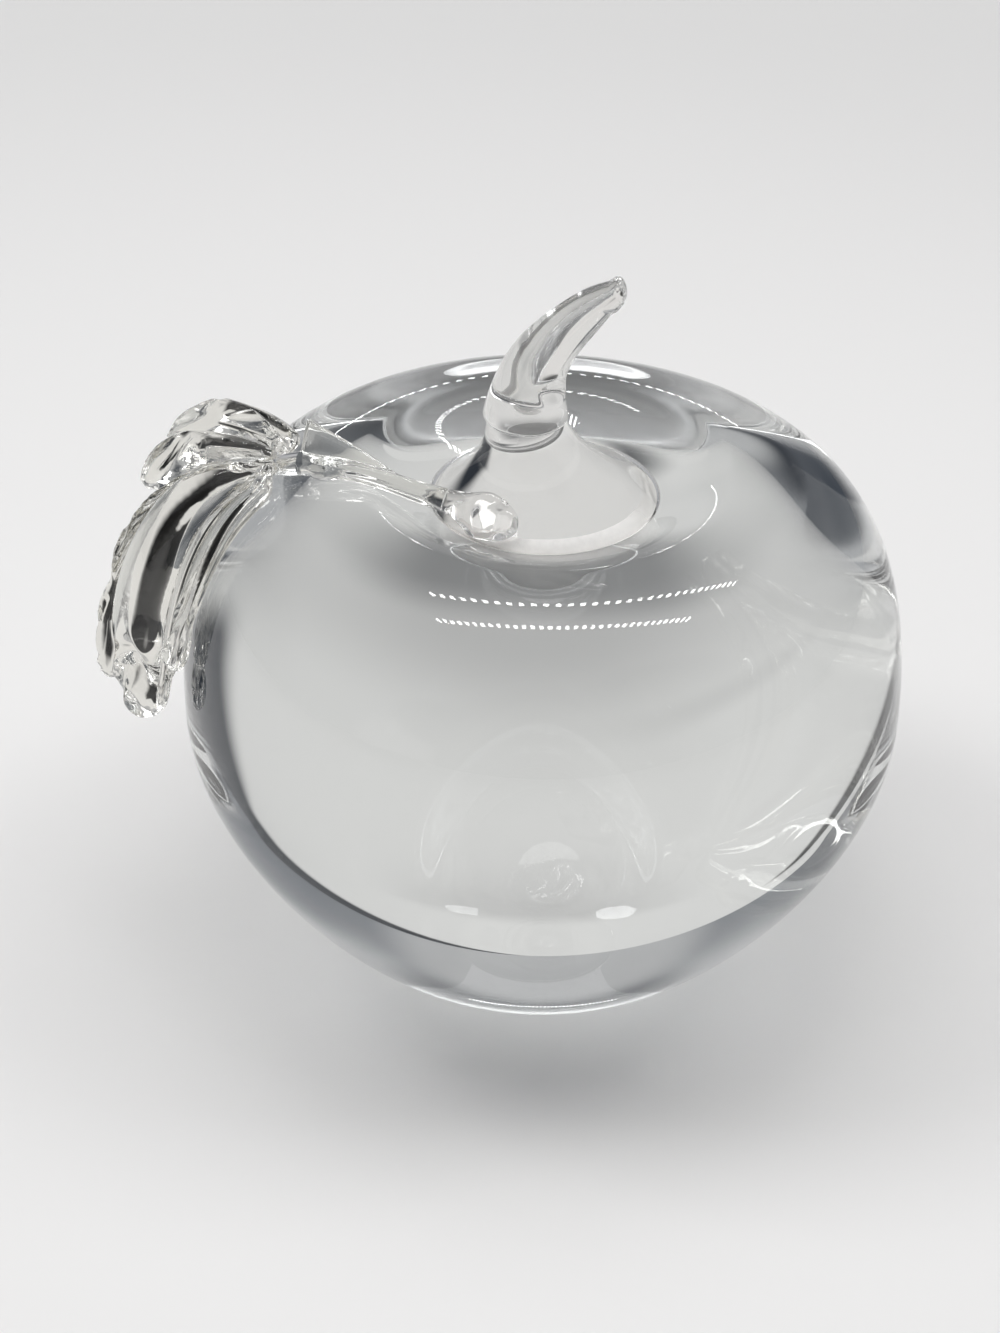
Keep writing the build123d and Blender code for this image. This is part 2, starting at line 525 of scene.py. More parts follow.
@dataclass
class AppleBody:
    """Solid body of revolution with a flat foot and a dimple.

    Sizes in mm, as in the solid model. The outline is a straight foot and three
    Bezier curves: foot to belly, belly to crest, and crest to dimple floor.
    """

    radius: float = 40.0
    widest_height: float = 31.7
    foot_radius: float = 20.3
    foot_bevel: float = 0.4
    crest_radius: float = 20.6
    crest_height: float = 59.4
    dimple_depth: float = 5.4
    foot_flare: float = 0.155
    foot_lift: float = 0.12
    belly: float = 0.37
    shoulder: float = 0.866
    crest_swell: float = 0.5
    dimple_crest: float = 0.73
    dimple_floor: float = 0.61
    foot_rows: int = 11
    edge_rows: int = 6
    curve_rows: int = 64            # of each curve outside the dimple
    dimple_rows: int = 60
    seam_gap: float = 0.1           # least step between the seat's edge and the next row
    around: int = 320

    @property
    def floor_height(self) -> float:
        """Height of the dimple's lowest point."""
        return self.crest_height - self.dimple_depth

    def dimple(self, count: int = 400) -> np.ndarray:
        """Outline of the dimple as (radius, height), from the crest to the axis."""
        high, low = self.crest_height, self.floor_height
        return bezier((
            (self.crest_radius, high),
            (self.dimple_crest * self.crest_radius, high),
            (self.dimple_floor * self.crest_radius, low),
            (0.0, low),
        ), count)

    def dimple_height(self, radius: np.ndarray) -> np.ndarray:
        """Height of the body's top at a radius, out to the crest."""
        outline = self.dimple()[::-1]
        return np.interp(radius, outline[:, 0], outline[:, 1])

    def outline(self, seat_radius: float) -> tuple[np.ndarray, int]:
        """Lay the whole outline, from foot to dimple floor.

        Args:
            seat_radius: Radius at which the stem's seat begins.

        Returns:
            Points as (radius, height), and how many lie outside the seat.
        """
        rise = self.widest_height
        swell = self.crest_radius + self.crest_swell * (self.radius - self.crest_radius)
        inner = self.foot_radius - self.foot_bevel
        radii = np.linspace(0.0, inner, self.foot_rows + 1)[1:]
        foot = np.stack((radii, np.zeros(self.foot_rows)), axis=-1)
        quarter = np.linspace(0.0, np.pi / 2, self.edge_rows)[1:-1]
        edge = np.stack((
            inner + self.foot_bevel * np.sin(quarter), self.foot_bevel * (1.0 - np.cos(quarter)),
        ), axis=-1)
        lower = bezier((
            (self.foot_radius, self.foot_bevel),
            (self.foot_radius + self.foot_flare * self.radius, self.foot_lift * rise),
            (self.radius, rise - self.belly * rise),
            (self.radius, rise),
        ), self.curve_rows)
        upper = bezier((
            (self.radius, rise),
            (self.radius, rise + self.shoulder * (self.crest_height - rise)),
            (swell, self.crest_height),
            (self.crest_radius, self.crest_height),
        ), self.curve_rows)[1:]
        dimple = self.dimple(self.dimple_rows)[1:-1]
        ring = (seat_radius, float(self.dimple_height(np.array(seat_radius))))
        outside = dimple[dimple[:, 0] > seat_radius + self.seam_gap]
        inside = dimple[dimple[:, 0] < seat_radius - self.seam_gap]
        before = np.vstack((foot, edge, lower, upper, outside))
        return np.vstack((before, ring, inside)), len(before)

    def floor_loops(self, seat_radius: float) -> np.ndarray:
        """Loops of the joint under the seat, from its edge to near the axis."""
        outline, before = self.outline(seat_radius)
        return self.spin(outline[before:])

    def spin(self, outline: np.ndarray) -> np.ndarray:
        """Carry an outline round the axis: (r cos a, r sin a, z)."""
        turns = turns_of(self.around)
        loops = np.empty((len(outline), self.around, 3))
        loops[..., 0] = outline[:, :1] * np.cos(turns)
        loops[..., 1] = outline[:, :1] * np.sin(turns)
        loops[..., 2] = outline[:, 1:]
        return loops

    def build(self, shop: Workshop, seat_radius: float) -> bpy.types.Object:
        """Make the body.

        Args:
            shop: The finishes.
            seat_radius: Radius at which the stem's seat begins.

        Returns:
            The piece.
        """
        outline, before = self.outline(seat_radius)
        numbers = np.arange(len(outline) + 1)
        skin = Skin(
            self.spin(outline), np.zeros(3), np.array((0.0, 0.0, self.floor_height)),
            fused=numbers > before, edge=numbers < self.foot_rows,
        )
        finishes = [shop.body_glass, shop.joint, shop.ground_foot]
        return place_piece(make_piece("apple_body_glass", [skin], finishes), "apple_body")


def place_piece(piece: bpy.types.Object, node: str) -> bpy.types.Object:
    """Hang a piece on the root body and hide the solid that it stands for.

    Args:
        piece: The new piece.
        node: Name of the solid that it replaces.

    Returns:
        The same piece.
    """
    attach(piece, "root")
    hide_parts(node)
    return piece


@dataclass
class StemSeat:
    """Flared gather of glass in the dimple that carries the stem.

    Its loops are circles. Their radius follows the flare and their centre moves
    from the axis at the base to neck_offset at the neck. The rim is rolled
    outwards into a bead, and each petal is a shallow bowl in the side.
    """

    radius: float = 12.0
    rim_rise: float = 1.9
    flare_rise: float = 9.8
    neck_radius: float = 4.1
    neck_offset: float = -2.2
    rim_round: float = 0.3
    rim_bead: float = 0.4
    bead_turn: float = 0.78         # of a half circle, from the dimple over the bead
    clearance: float = 0.03
    corner_pulls: tuple = ((0.2, 0.1), (0.15, -0.2))    # mm, at the bead and at the flare
    bead_rows: int = 10
    corner_rows: int = 12
    flare_rows: int = 64
    row_crowding: float = 1.3       # towards the rim
    rolled_rows: int = 31           # rows of faces that are rolled, from the dimple up, which wear the painted highlight
    corner_end: int = 4             # row of the flare where the rim's rounding ends
    lean_rounds: int = 6            # after which a height on the leaning side has settled
    petal_power: float = 0.75       # lower for a steeper edge
    # Petals, where the tool touched, as (bearing, place up the side, half width, half height, depth)
    petals: tuple = (
        (38.0, 0.55, 15.0, 0.16, 0.7), (8.0, 0.3, 17.0, 0.16, 0.7), (128.0, 0.5, 15.0, 0.16, 0.6),
    )
    flare: tuple = ((0.0, 1.0), (0.1, 0.93), (0.25, 0.68), (0.45, 0.38), (0.7, 0.14), (1.0, 0.0))

    def rim_height(self, body: AppleBody) -> float:
        """Height of the top edge of the rim."""
        return body.floor_height + self.rim_rise

    def neck_height(self, body: AppleBody) -> float:
        """Height of the joint with the stem."""
        return self.rim_height(body) + self.flare_rise

    def side_outline(self, body: AppleBody) -> np.ndarray:
        """Radius and height of the side, from the dimple up to the neck."""
        rim, low = self.rim_height(body), float(body.dimple_height(np.array(self.radius)))
        shares = np.array(self.flare)
        curve = SmoothCurve(shares[:, 0], shares[:, 1])
        rises = np.linspace(0.0, 1.0, self.flare_rows) ** self.row_crowding
        flare = np.stack((
            self.neck_radius + curve.at(rises) * (self.radius - self.neck_radius),
            rim + rises * self.flare_rise,
        ), axis=-1)
        # The rim is rolled outwards into a bead that lies on the dimple
        up = np.linspace(0.0, 1.0, self.bead_rows)[1:]
        bulge = self.radius + self.rim_bead * np.sin(self.bead_turn * np.pi * up)
        wall_top = rim - self.rim_round
        lifted = np.maximum(low + (wall_top - low) * up, body.dimple_height(bulge) + self.clearance)
        wall = np.stack((bulge, lifted), axis=-1)
        bead_pull, flare_pull = np.array(self.corner_pulls)
        before, end = flare[self.corner_end - 1 : self.corner_end + 1]
        corners = (wall[-1], (self.radius, rim) + bead_pull, before + flare_pull, end)
        corner = bezier(corners, self.corner_rows)[1:-1]
        return np.vstack((wall, corner, flare[self.corner_end :]))

    def height_at(self, points: np.ndarray, body: AppleBody) -> np.ndarray:
        """Height of the top of seat and dimple above places on the plan.

        Args:
            points: Places as (x, y).
            body: The apple's body.

        Returns:
            The heights.
        """
        outline = self.side_outline(body)[::-1]
        low, high = outline[-1, 1], outline[0, 1]
        height = np.full(points.shape[:-1], low)
        # The centre leans with the height and the height falls with the distance from the centre
        for _ in range(self.lean_rounds):
            centre = self.neck_offset * np.clip((height - low) / (high - low), 0.0, 1.0)
            away = np.hypot(points[..., 0] - centre, points[..., 1])
            height = np.interp(away, outline[:, 0], outline[:, 1])
        bare = body.dimple_height(np.hypot(points[..., 0], points[..., 1]))
        return np.where(away < self.radius, np.maximum(height, bare), bare)

    def neck_loop(self, body: AppleBody) -> np.ndarray:
        """Loop of points that the seat and the stem share."""
        centre = np.array((self.neck_offset, 0.0, self.neck_height(body)))
        side, front = np.array((self.neck_radius, 0.0, 0.0)), np.array((0.0, self.neck_radius, 0.0))
        return loop(centre, side, front, turns_of(body.around))

    def build(self, shop: Workshop, body: AppleBody) -> bpy.types.Object:
        """Make the seat on the body's dimple.

        Args:
            shop: The finishes.
            body: The apple's body.

        Returns:
            The piece.
        """
        base = body.floor_loops(self.radius)[::-1]
        outline = self.side_outline(body)
        side = body.spin(outline)
        low, high = base[-1, 0, 2], self.neck_height(body)
        turns, place = turns_of(body.around), np.linspace(0.0, 1.0, len(outline))[:, None]
        for bearing, middle, wide, tall, depth in self.petals:
            off = (np.degrees(turns) - bearing + 180.0) % 360.0 - 180.0
            bowl = 1.0 - (off / wide) ** 2 - ((place - middle) / tall) ** 2
            dent = depth * np.clip(bowl, 0.0, None) ** self.petal_power
            side[..., :2] *= (1.0 - dent / outline[:, :1])[..., None]
        side[..., 0] += self.neck_offset * ((outline[:, 1] - low) / (high - low))[:, None]
        side[-1] = self.neck_loop(body)
        loops = np.concatenate((base, side))
        fused = np.zeros(len(loops) + 1, bool)
        fused[: len(base)] = True
        fused[-1] = True
        # The rolled rim's faces wear the painted white highlight
        rolled = np.zeros(len(fused), bool)
        rolled[len(base) : len(base) + self.rolled_rows] = True
        skin = Skin(
            loops, np.array((0.0, 0.0, body.floor_height)),
            np.array((self.neck_offset, 0.0, high)), fused=fused, edge=rolled,
        )
        piece = make_piece("stem_seat_glass", [skin], [shop.seat_glass, shop.joint, shop.painted_rim_highlight])
        return place_piece(piece, "stem_seat")


@dataclass
class Stem:
    """Rod of glass drawn up from the neck and curled towards +X.

    Its loops are circles across a smooth path. Their radius is the taper, plus a
    soft lip at the foot. The jacks have pressed one side flat: there the radius is
    the smooth minimum of the round one and of a chord. The tip is sheared off and
    left rough.
    """

    rise: float = 14.5
    reach: float = 9.1
    lip_radius: float = 4.4
    lip_height: float = 1.6
    tip_radius: float = 1.4
    tip_slant: float = 20.0
    path: tuple = ((0.0, 0.0), (0.02, 0.165), (0.2, 0.49), (0.54, 0.75), (0.79, 0.9), (1.0, 1.0))
    taper: tuple = ((0.0, 1.0), (0.2, 0.89), (0.45, 0.67), (0.68, 0.46), (0.87, 0.24), (1.0, 0.0))
    lip_reach: float = 2.6          # mm up the stem, over which the lip fades
    lip_spare: float = 0.15         # mm, so that the lip is full where it starts to fade
    lip_round: float = 0.35         # of lip_height
    flat_turn: float = -42.0        # degrees from +X, negative towards the front
    flat_share: float = 0.62        # of the radius, the chord's distance from the middle
    flat_places: tuple = (0.17, 0.34, 0.88, 0.97)
    flat_sharpness: float = 22.0
    tip_rises: tuple = (0.85, 0.84)    # of tip_radius, round the end's middle and in it
    # Humps of the tip as (count round it, turn, height as a share of its radius)
    humps: tuple = ((3.0, 1.0, 0.06), (5.0, 0.0, 0.04))
    roll_power: float = 0.8         # lower for a blunter tip
    roll_rows: int = 16
    rows: int = 220
    row_crowding: float = 1.15      # towards the foot

    def press(self, radius: np.ndarray, places: np.ndarray, turns: np.ndarray) -> np.ndarray:
        """Radius of each point with the flat pressed into the round rod.

        Args:
            radius: Radius of each loop.
            places: Place of each loop along the stem.
            turns: Angles round the loops.

        Returns:
            The radii as (loop, place on the loop).
        """
        start, full, fade, end = self.flat_places
        pressed = ease(places, start, full) * (1.0 - ease(places, fade, end))
        facing = np.cos(turns - math.radians(self.flat_turn))
        # Away from the flat the chord is too far out to matter
        least, far_out = 0.2, 5.0
        chord = (1.0 - (1.0 - self.flat_share) * pressed)[:, None] / np.maximum(facing, least)
        chord = np.where(facing > least, chord, far_out)
        return radius[:, None] * (1.0 + chord**-self.flat_sharpness) ** (-1.0 / self.flat_sharpness)

    def radii(self, places: np.ndarray, length: float, neck_radius: float) -> np.ndarray:
        """Radius of each loop: the taper, plus the lip as a bell curve in the height.

        Args:
            places: Place of each loop along the stem.
            length: Length of the stem.
            neck_radius: Radius of the seat's neck.

        Returns:
            The radii.
        """
        taper = np.array(self.taper)
        radius = self.tip_radius + SmoothCurve(*taper.T).at(places) * (neck_radius - self.tip_radius)
        height = places * length
        climb = np.clip(height / (self.lip_round * self.lip_height), 0.0, 1.0)
        rise_in = np.sqrt(np.clip(1.0 - (1.0 - climb) ** 2, 0.0, 1.0))
        lip = self.lip_radius - neck_radius + self.lip_spare
        radius = radius + lip * rise_in * np.exp(-((height / self.lip_reach) ** 2))
        radius[0] = neck_radius
        return radius

    def build(self, shop: Workshop, body: AppleBody, seat: StemSeat) -> bpy.types.Object:
        """Make the stem on the seat's neck.

        Args:
            shop: The finishes.
            body: The apple's body.
            seat: The stem's seat.

        Returns:
            The piece.
        """
        foot = np.array((seat.neck_offset, 0.0, seat.neck_height(body)))
        points = foot + np.array([(run * self.reach, 0.0, lift * self.rise) for run, lift in self.path])
        path = SmoothCurve.through(points)
        places = np.linspace(0.0, 1.0, self.rows) ** self.row_crowding
        centres = path.at(places)
        along = unit(np.gradient(centres, places, axis=0))
        along[0] = UP
        side = unit(np.cross(BACK, along))
        length = np.linalg.norm(np.diff(points, axis=0), axis=1).sum()
        turns = turns_of(body.around)
        sideways, backwards = np.cos(turns)[:, None], np.sin(turns)[:, None]
        reach = self.press(self.radii(places, length, seat.neck_radius), places, turns)[..., None]
        loops = centres[:, None] + reach * (sideways * side[:, None] + backwards * BACK)
        loops[0] = seat.neck_loop(body)
        # The shears leave a slanted end that the flame has rolled round, with small humps
        end_side = side[-1] - along[-1] * math.tan(math.radians(self.tip_slant))
        roll = np.linspace(0.0, np.pi / 2, self.roll_rows)[1:-1, None]
        hump = sum(height * np.sin(count * turns + turn) for count, turn, height in self.humps)
        edge_rise, middle_rise = (share * self.tip_radius * along[-1] for share in self.tip_rises)
        spread = np.cos(roll) ** self.roll_power * self.tip_radius * (1.0 + hump * np.sin(2 * roll))
        ends = (
            (centres[-1] + edge_rise * np.sin(roll))[:, None]
            + spread[..., None] * (sideways * end_side + backwards * BACK)
        )
        loops = np.concatenate((loops, ends))
        fused = np.arange(len(loops) + 1) == 0
        skin = Skin(loops, foot, centres[-1] + middle_rise, fused=fused)
        piece = make_piece("stem_glass", [skin], [shop.stem_glass, shop.joint])
        return place_piece(piece, "stem")


# The leaf


@dataclass
class LeafPad:
    """Blob of glass pressed on the seat, drawn out into the leaf's stalk.

    Its loops run across the pad's length: half ellipses above the pad's plane,
    and below it down to a hair above the seat. Towards the stalk they turn into
    the stalk's first loop. The end was folded over itself and pressed, which left
    ridges across it: sums of sines in the turn and in the length.
    """

    bearing: float = 229.0
    slope: float = 50.0
    inset: float = 1.7
    rise: float = 2.6
    length: float = 9.5
    width: float = 5.2
    thickness: float = 1.0
    clearance: float = 0.02
    stalk_grip: float = 2.8
    fold_height: float = 0.24
    # The two waves of the folds as (count round a loop, twist along the pad)
    fold_waves: tuple = ((2.0, 4.0), (4.0, -6.0))
    fold_beat: tuple = (5.0, 1.0)   # of the first wave along the pad: speed and start
    fine_share: float = 0.5         # height of the second wave, of the first
    # Places from the free end at -1 to the stalk at 1
    fold_fade: tuple = (0.5, 0.9)
    drawn_from: float = -0.1        # where the pad starts to turn into the stalk
    lift_off: tuple = (0.75, 1.0)   # where it leaves the seat
    edge_power: float = 0.7         # lower for a steeper edge
    least_half: float = 0.02        # share of the width and thickness that the ends keep
    rows: int = 120

    def axes(self, body: AppleBody, seat: StemSeat) -> tuple[np.ndarray, np.ndarray, np.ndarray, np.ndarray]:
        """Place of the pad.

        Args:
            body: The apple's body.
            seat: The stem's seat.

        Returns:
            Its centre, the direction of its length, of its width and out of its face.
        """
        turn, tilt = math.radians(self.bearing), math.radians(self.slope)
        outward = np.array((math.cos(turn), math.sin(turn), 0.0))
        centre = outward * (seat.radius - self.inset) + UP * (seat.rim_height(body) + self.rise)
        lengthways = np.array((outward[1], -outward[0], 0.0))
        face = outward * math.cos(tilt) + UP * math.sin(tilt)
        return centre, lengthways, np.cross(lengthways, face), face

    def grip_point(self, body: AppleBody, seat: StemSeat) -> np.ndarray:
        """Point in the pad where the stalk begins."""
        centre, lengthways, _, _ = self.axes(body, seat)
        return centre + lengthways * self.stalk_grip

    def build(
        self, shop: Workshop, body: AppleBody, seat: StemSeat, joint: np.ndarray,
    ) -> bpy.types.Object:
        """Make the pad.

        Args:
            shop: The finishes.
            body: The apple's body.
            seat: The stem's seat.
            joint: The stalk's first loop.

        Returns:
            The piece.
        """
        centre, lengthways, side, face = self.axes(body, seat)
        turns = turns_of(len(joint))
        share = np.sin(np.linspace(-np.pi / 2, np.pi / 2, self.rows))[1:]
        across = np.sqrt(np.clip(1.0 - share**2, 0.0, None))
        reach = centre + lengthways * share[:, None] * self.length / 2
        half = np.maximum(across, self.least_half)[:, None]
        arms = side * half * self.width / 2, face * half**self.edge_power * self.thickness
        pad = loop(reach, *arms, turns)
        middle = joint.mean(axis=0)
        mix = ease(share, self.drawn_from, 1.0)[:, None, None]
        drawn = joint + (reach - middle)[:, None, :] * (1.0 - ease(share, 0.0, 1.0))[:, None, None]
        loops = pad * (1.0 - mix) + drawn * mix
        place = share[:, None]
        (count, twist), (fine_count, fine_twist) = self.fold_waves
        beat, beat_start = self.fold_beat
        folds = np.sin(count * turns + twist * place) * np.sin(beat * place + beat_start)
        folds += self.fine_share * np.sin(fine_count * turns + fine_twist * place)
        fading = (across * (1.0 - ease(share, *self.fold_fade)))[:, None]
        loops += (self.fold_height * folds * fading)[..., None] * face
        bed = seat.height_at(loops[..., :2], body) + self.clearance
        free = ease(share, *self.lift_off)[:, None]
        height = loops[..., 2]
        loops[..., 2] = np.where(height < bed, bed * (1.0 - free) + height * free, height)
        loops[-1] = joint
        start = centre - lengthways * self.length / 2
        start[2] = max(start[2], float(seat.height_at(start[:2], body)) + self.clearance)
        fused = np.arange(len(loops) + 1) == len(loops)
        skin = Skin(loops, start, middle, fused=fused)
        piece = make_piece("leaf_pad_glass", [skin], [shop.seat_glass, shop.joint])
        return place_piece(piece, "leaf_pad")


@dataclass
class LeafStalk:
    """Thread of glass from the pad to the root of the leaf.

    Its loops are circles with soft flutes, across a smooth path that rises in a
    low arch. Next to the leaf a thin web stands on the thread and a knot hangs
    under it. Both are bell curves in the angle round the thread.
    """

    arch: float = 0.8
    pad_radius: float = 1.4
    middle_radius: float = 1.0
    root_radius: float = 1.3
    arch_places: tuple = ((0.3, 0.5), (0.65, 1.0))
    first_share: float = 0.1        # where the pad ends and the stalk begins
    # Web and knot as (height, degrees from the far side towards the top, width in radians,
    # and the places along the stalk where it starts, is full and has gone)
    growths: tuple = ((3.6, 50.0, 0.3, 0.4, 0.985, 0.997), (1.5, -75.0, 0.6, 0.72, 0.86, 0.97))
    # Flutes as (count, twist in radians, depth as a share of the radius)
    flutes: tuple = ((3.0, 2.0, 0.09), (7.0, -3.0, 0.05))
    flute_places: tuple = (0.1, 0.25, 0.9, 1.0)    # start, full, fade and end along the stalk
    growth_power: float = 1.1
    rows: int = 180
    around: int = 144

    def path(self, start: np.ndarray, end: np.ndarray) -> SmoothCurve:
        """Smooth path from the pad to the leaf's root."""
        points = [start]
        points += [start + (end - start) * run + UP * lift * self.arch for run, lift in self.arch_places]
        return SmoothCurve.through(np.array(points + [end]))

    def loops(self, start: np.ndarray, end: np.ndarray) -> np.ndarray:
        """Lay the loops from the pad to the leaf.

        Args:
            start: Point in the pad where the stalk begins.
            end: Root of the leaf.

        Returns:
            The loops.
        """
        path = self.path(start, end)
        places = np.linspace(self.first_share, 1.0, self.rows)
        centres = path.at(places)
        along = unit(np.gradient(centres, places, axis=0))
        side = unit(np.cross(along, UP))
        top = np.cross(side, along)
        radii = (self.pad_radius, self.middle_radius, self.root_radius)
        radius = SmoothCurve((0.0, 0.5, 1.0), radii).at(places)
        turns = turns_of(self.around)
        first, whole, fade, last = self.flute_places
        between = ease(places, first, whole) * (1.0 - ease(places, fade, last))
        ripple = sum(
            depth * np.cos(count * turns + twist * places[:, None]) for count, twist, depth in self.flutes
        )
        height = radius[:, None] * (1.0 + between[:, None] * ripple)
        for reach, middle, width, grow, full, gone in self.growths:
            grown = np.clip((places - grow) / (full - grow), 0.0, 1.0) ** self.growth_power
            grown *= 1.0 - ease(places, full, gone)
            away = (turns - math.radians(middle) + np.pi) % (2.0 * np.pi) - np.pi
            height = height + reach * grown[:, None] * np.exp(-((away / width) ** 2))
        return (
            centres[:, None]
            + (np.cos(turns) * height)[..., None] * side[:, None]
            + (np.sin(turns) * height)[..., None] * top[:, None]
        )

    def build(self, shop: Workshop, loops: np.ndarray) -> bpy.types.Object:
        """Make the stalk.

        Args:
            shop: The finishes.
            loops: Its loops.

        Returns:
            The piece.
        """
        numbers = np.arange(len(loops) + 1)
        fused = (numbers == 0) | (numbers == len(loops))
        skin = Skin(loops, loops[0].mean(axis=0), loops[-1].mean(axis=0), fused=fused)
        piece = make_piece("leaf_stalk_glass", [skin], [shop.leaf_glass, shop.joint])
        return place_piece(piece, "leaf_stalk")


@dataclass
class Leaf:
    """Fan of pressed lobes that hangs over the apple's shoulder.

    Eight rib paths leave the root. Between them the middle sheet is a smooth
    curve across the fan, which lobes of different widths divide. The half
    thickness of each lobe is that of an ellipse across it, never more than its
    own half width, and falls to nothing at the outline like the side of a circle.
    Places on the fan are counted in ribs, from 0 at the far one.
    """

    root_outset: float = 5.4
    root_shift: float = -1.0
    root_rise: float = 1.2
    overhang: float = 7.5
    drop: float = 25.5
    side: float = 13.0
    rib_half_width: float = 2.3
    margin: float = 0.45            # ribs, how far the sheet runs on past the outer ones
    groove_thickness: float = 0.35
    under_share: float = 0.6        # thickness under the middle sheet, of that over it
    edge_round: float = 1.5
    opening: float = 0.35           # along the leaf, where it has opened to its full width
    neck_share: float = 0.22        # along the leaf, where the stalk has turned into the blade
    free_from: float = 0.1          # of the rows, where the blade's edges are free of the stalk
    lobe_power: float = 0.55        # lower for a fuller lobe
    lobe_room: tuple = (0.75, 0.2)  # thickness that a lobe has room for: share of its width, mm
    pinch_length: float = 0.06      # along the leaf
    sample_step: float = 0.05       # ribs, for the fan's width at a place
    least_width: float = 0.3        # mm for each rib
    steps: int = 40                 # of each rib path
    fan_steps: int = 70             # across the fan, for its slope at the edges
    outline_parts: int = 12         # measured one after another, which saves memory
    rib_reaches: tuple = (1.0, 1.0, 1.02, 1.02, 1.06, 1.08, 1.06, 1.04)    # of each path
    ribs: tuple = (
        ((0.22, 0.60, 0.0), (0.48, 1.0, 0.04)),
        ((0.38, 0.52, 0.03), (0.72, 0.85, 0.12)),
        ((0.42, 0.30, 0.05), (0.80, 0.46, 0.22)),
        ((0.66, 0.08, 0.20), (0.90, -0.08, 0.48), (0.99, -0.25, 0.90)),
        ((0.52, -0.12, 0.13), (0.76, -0.27, 0.42), (0.88, -0.38, 0.95)),
        ((0.40, -0.26, 0.11), (0.64, -0.43, 0.42), (0.78, -0.52, 1.0)),
        ((0.34, -0.34, 0.10), (0.56, -0.56, 0.41), (0.69, -0.68, 0.92)),
        ((0.27, -0.42, 0.10), (0.47, -0.69, 0.38), (0.60, -0.85, 0.70)),
    )
    notches: tuple = (0.0, 0.14, 0.72, 0.05, 0.0, 0.02, 0.1)    # share of the leaf, after each rib
    # Lobes as (last place on the fan, half thickness, place and depth of a pinch along it)
    lobes: tuple = (
        (1.0, 2.7, 0.55, 0.15), (1.35, 1.1, 0.5, 0.0), (2.2, 2.3, 0.7, 0.35), (2.75, 0.9, 0.5, 0.0),
        (3.4, 1.9, 0.66, 0.4), (5.6, 3.1, 0.82, 0.7), (6.3, 0.7, 0.5, 0.0), (7.1, 1.9, 0.75, 0.4),
        (7.5, 1.2, 0.85, 0.4),
    )
    rows: int = 200
    around: int = 360

    def root(self, body: AppleBody) -> np.ndarray:
        """Point where the ribs meet the stalk."""
        outset = body.crest_radius + self.root_outset
        return np.array((-outset, self.root_shift, body.crest_height + self.root_rise))

    def fan(self, body: AppleBody) -> SmoothCurve:
        """Curve from rib to rib, whose values are the paths read at even steps."""
        root = self.root(body)
        size = np.array((-(body.radius + self.overhang + root[0]), self.side, -self.drop))
        lengths = np.linspace(0.0, max(self.rib_reaches), self.steps + 1)
        ribs = [np.vstack((root, root + np.array(rib) * size)) for rib in self.ribs]
        paths = np.array([SmoothCurve.through(rib).at(lengths) for rib in ribs])
        return SmoothCurve(np.arange(len(paths)), paths)

    def along(self, table: np.ndarray, read: np.ndarray) -> np.ndarray:
        """Read a table of steps along the leaf at places between the steps.

        Args:
            table: Values as (column, step, ...).
            read: Places along the leaf as (row, column), 1 at the last step.

        Returns:
            The values as (row, column, ...).
        """
        low = np.clip((read * self.steps).astype(int), 0, self.steps - 1)
        part = (read * self.steps - low).reshape(read.shape + (1,) * (table.ndim - 2))
        column = np.arange(len(table))[None]
        return table[column, low] * (1 - part) + table[column, low + 1] * part

    def reaches(self, over: np.ndarray) -> np.ndarray:
        """Where the sheet ends, less at a notch: 1 - depth sin^2 between two ribs.

        Args:
            over: Places on the fan.

        Returns:
            Shares of the longest path.
        """
        gap = np.clip(over.astype(int), 0, len(self.notches) - 1)
        notch = np.array(self.notches)[gap] * np.sin(np.pi * (over - gap)) ** 2
        reached = SmoothCurve(np.arange(len(self.ribs)), self.rib_reaches).at(over)
        return (1.0 - notch) * reached / max(self.rib_reaches)

    def middle_sheet(
        self, fan: SmoothCurve, share: np.ndarray, read: np.ndarray, opened: np.ndarray,
    ) -> np.ndarray:
        """Lay the middle sheet. Beyond the outer ribs it runs on by the rib's half width.

        Args:
            fan: The curve from rib to rib.
            share: Place of each column on the fan, with the margin.
            read: Places along the leaf as (row, column).
            opened: Share of its width that each row has, as (row, 1).

        Returns:
            Points as (row, column, axis).
        """
        last = len(self.ribs) - 1
        over = np.clip(share, 0.0, last)
        across = np.gradient(fan.at(np.linspace(0.0, last, self.fan_steps + 1)), axis=0)
        edge_way = unit(np.where((share < 0)[:, None, None], -across[0], across[-1]) + TINY)
        run_on = np.abs(share - over) / self.margin * self.rib_half_width
        return self.along(fan.at(over), read) + self.along(edge_way, read) * (run_on * opened)[..., None]

    def normals(
        self, middle: np.ndarray, turns: np.ndarray, outward: np.ndarray, opened: np.ndarray,
    ) -> np.ndarray:
        """Directions out of the sheet: the cross product of its slopes, and outward at the root.

        Args:
            middle: Points of the middle sheet.
            turns: Angle of each column round the leaf.
            outward: Directions away from the apple.
            opened: Share of its width that each row has, as (row, 1).

        Returns:
            Unit vectors as (row, column, axis).
        """
        slope_across = np.gradient(middle, axis=1) * -np.sign(np.sin(turns + TINY))[:, None]
        normal = np.cross(np.gradient(middle, axis=0), slope_across)
        normal = unit(np.where(np.linalg.norm(normal, axis=-1, keepdims=True) < TINY, outward, normal))
        normal = np.where(np.sum(normal * outward, axis=-1, keepdims=True) < 0.0, -normal, normal)
        return unit(normal * opened[..., None] + outward * (1 - opened[..., None]) + TINY)

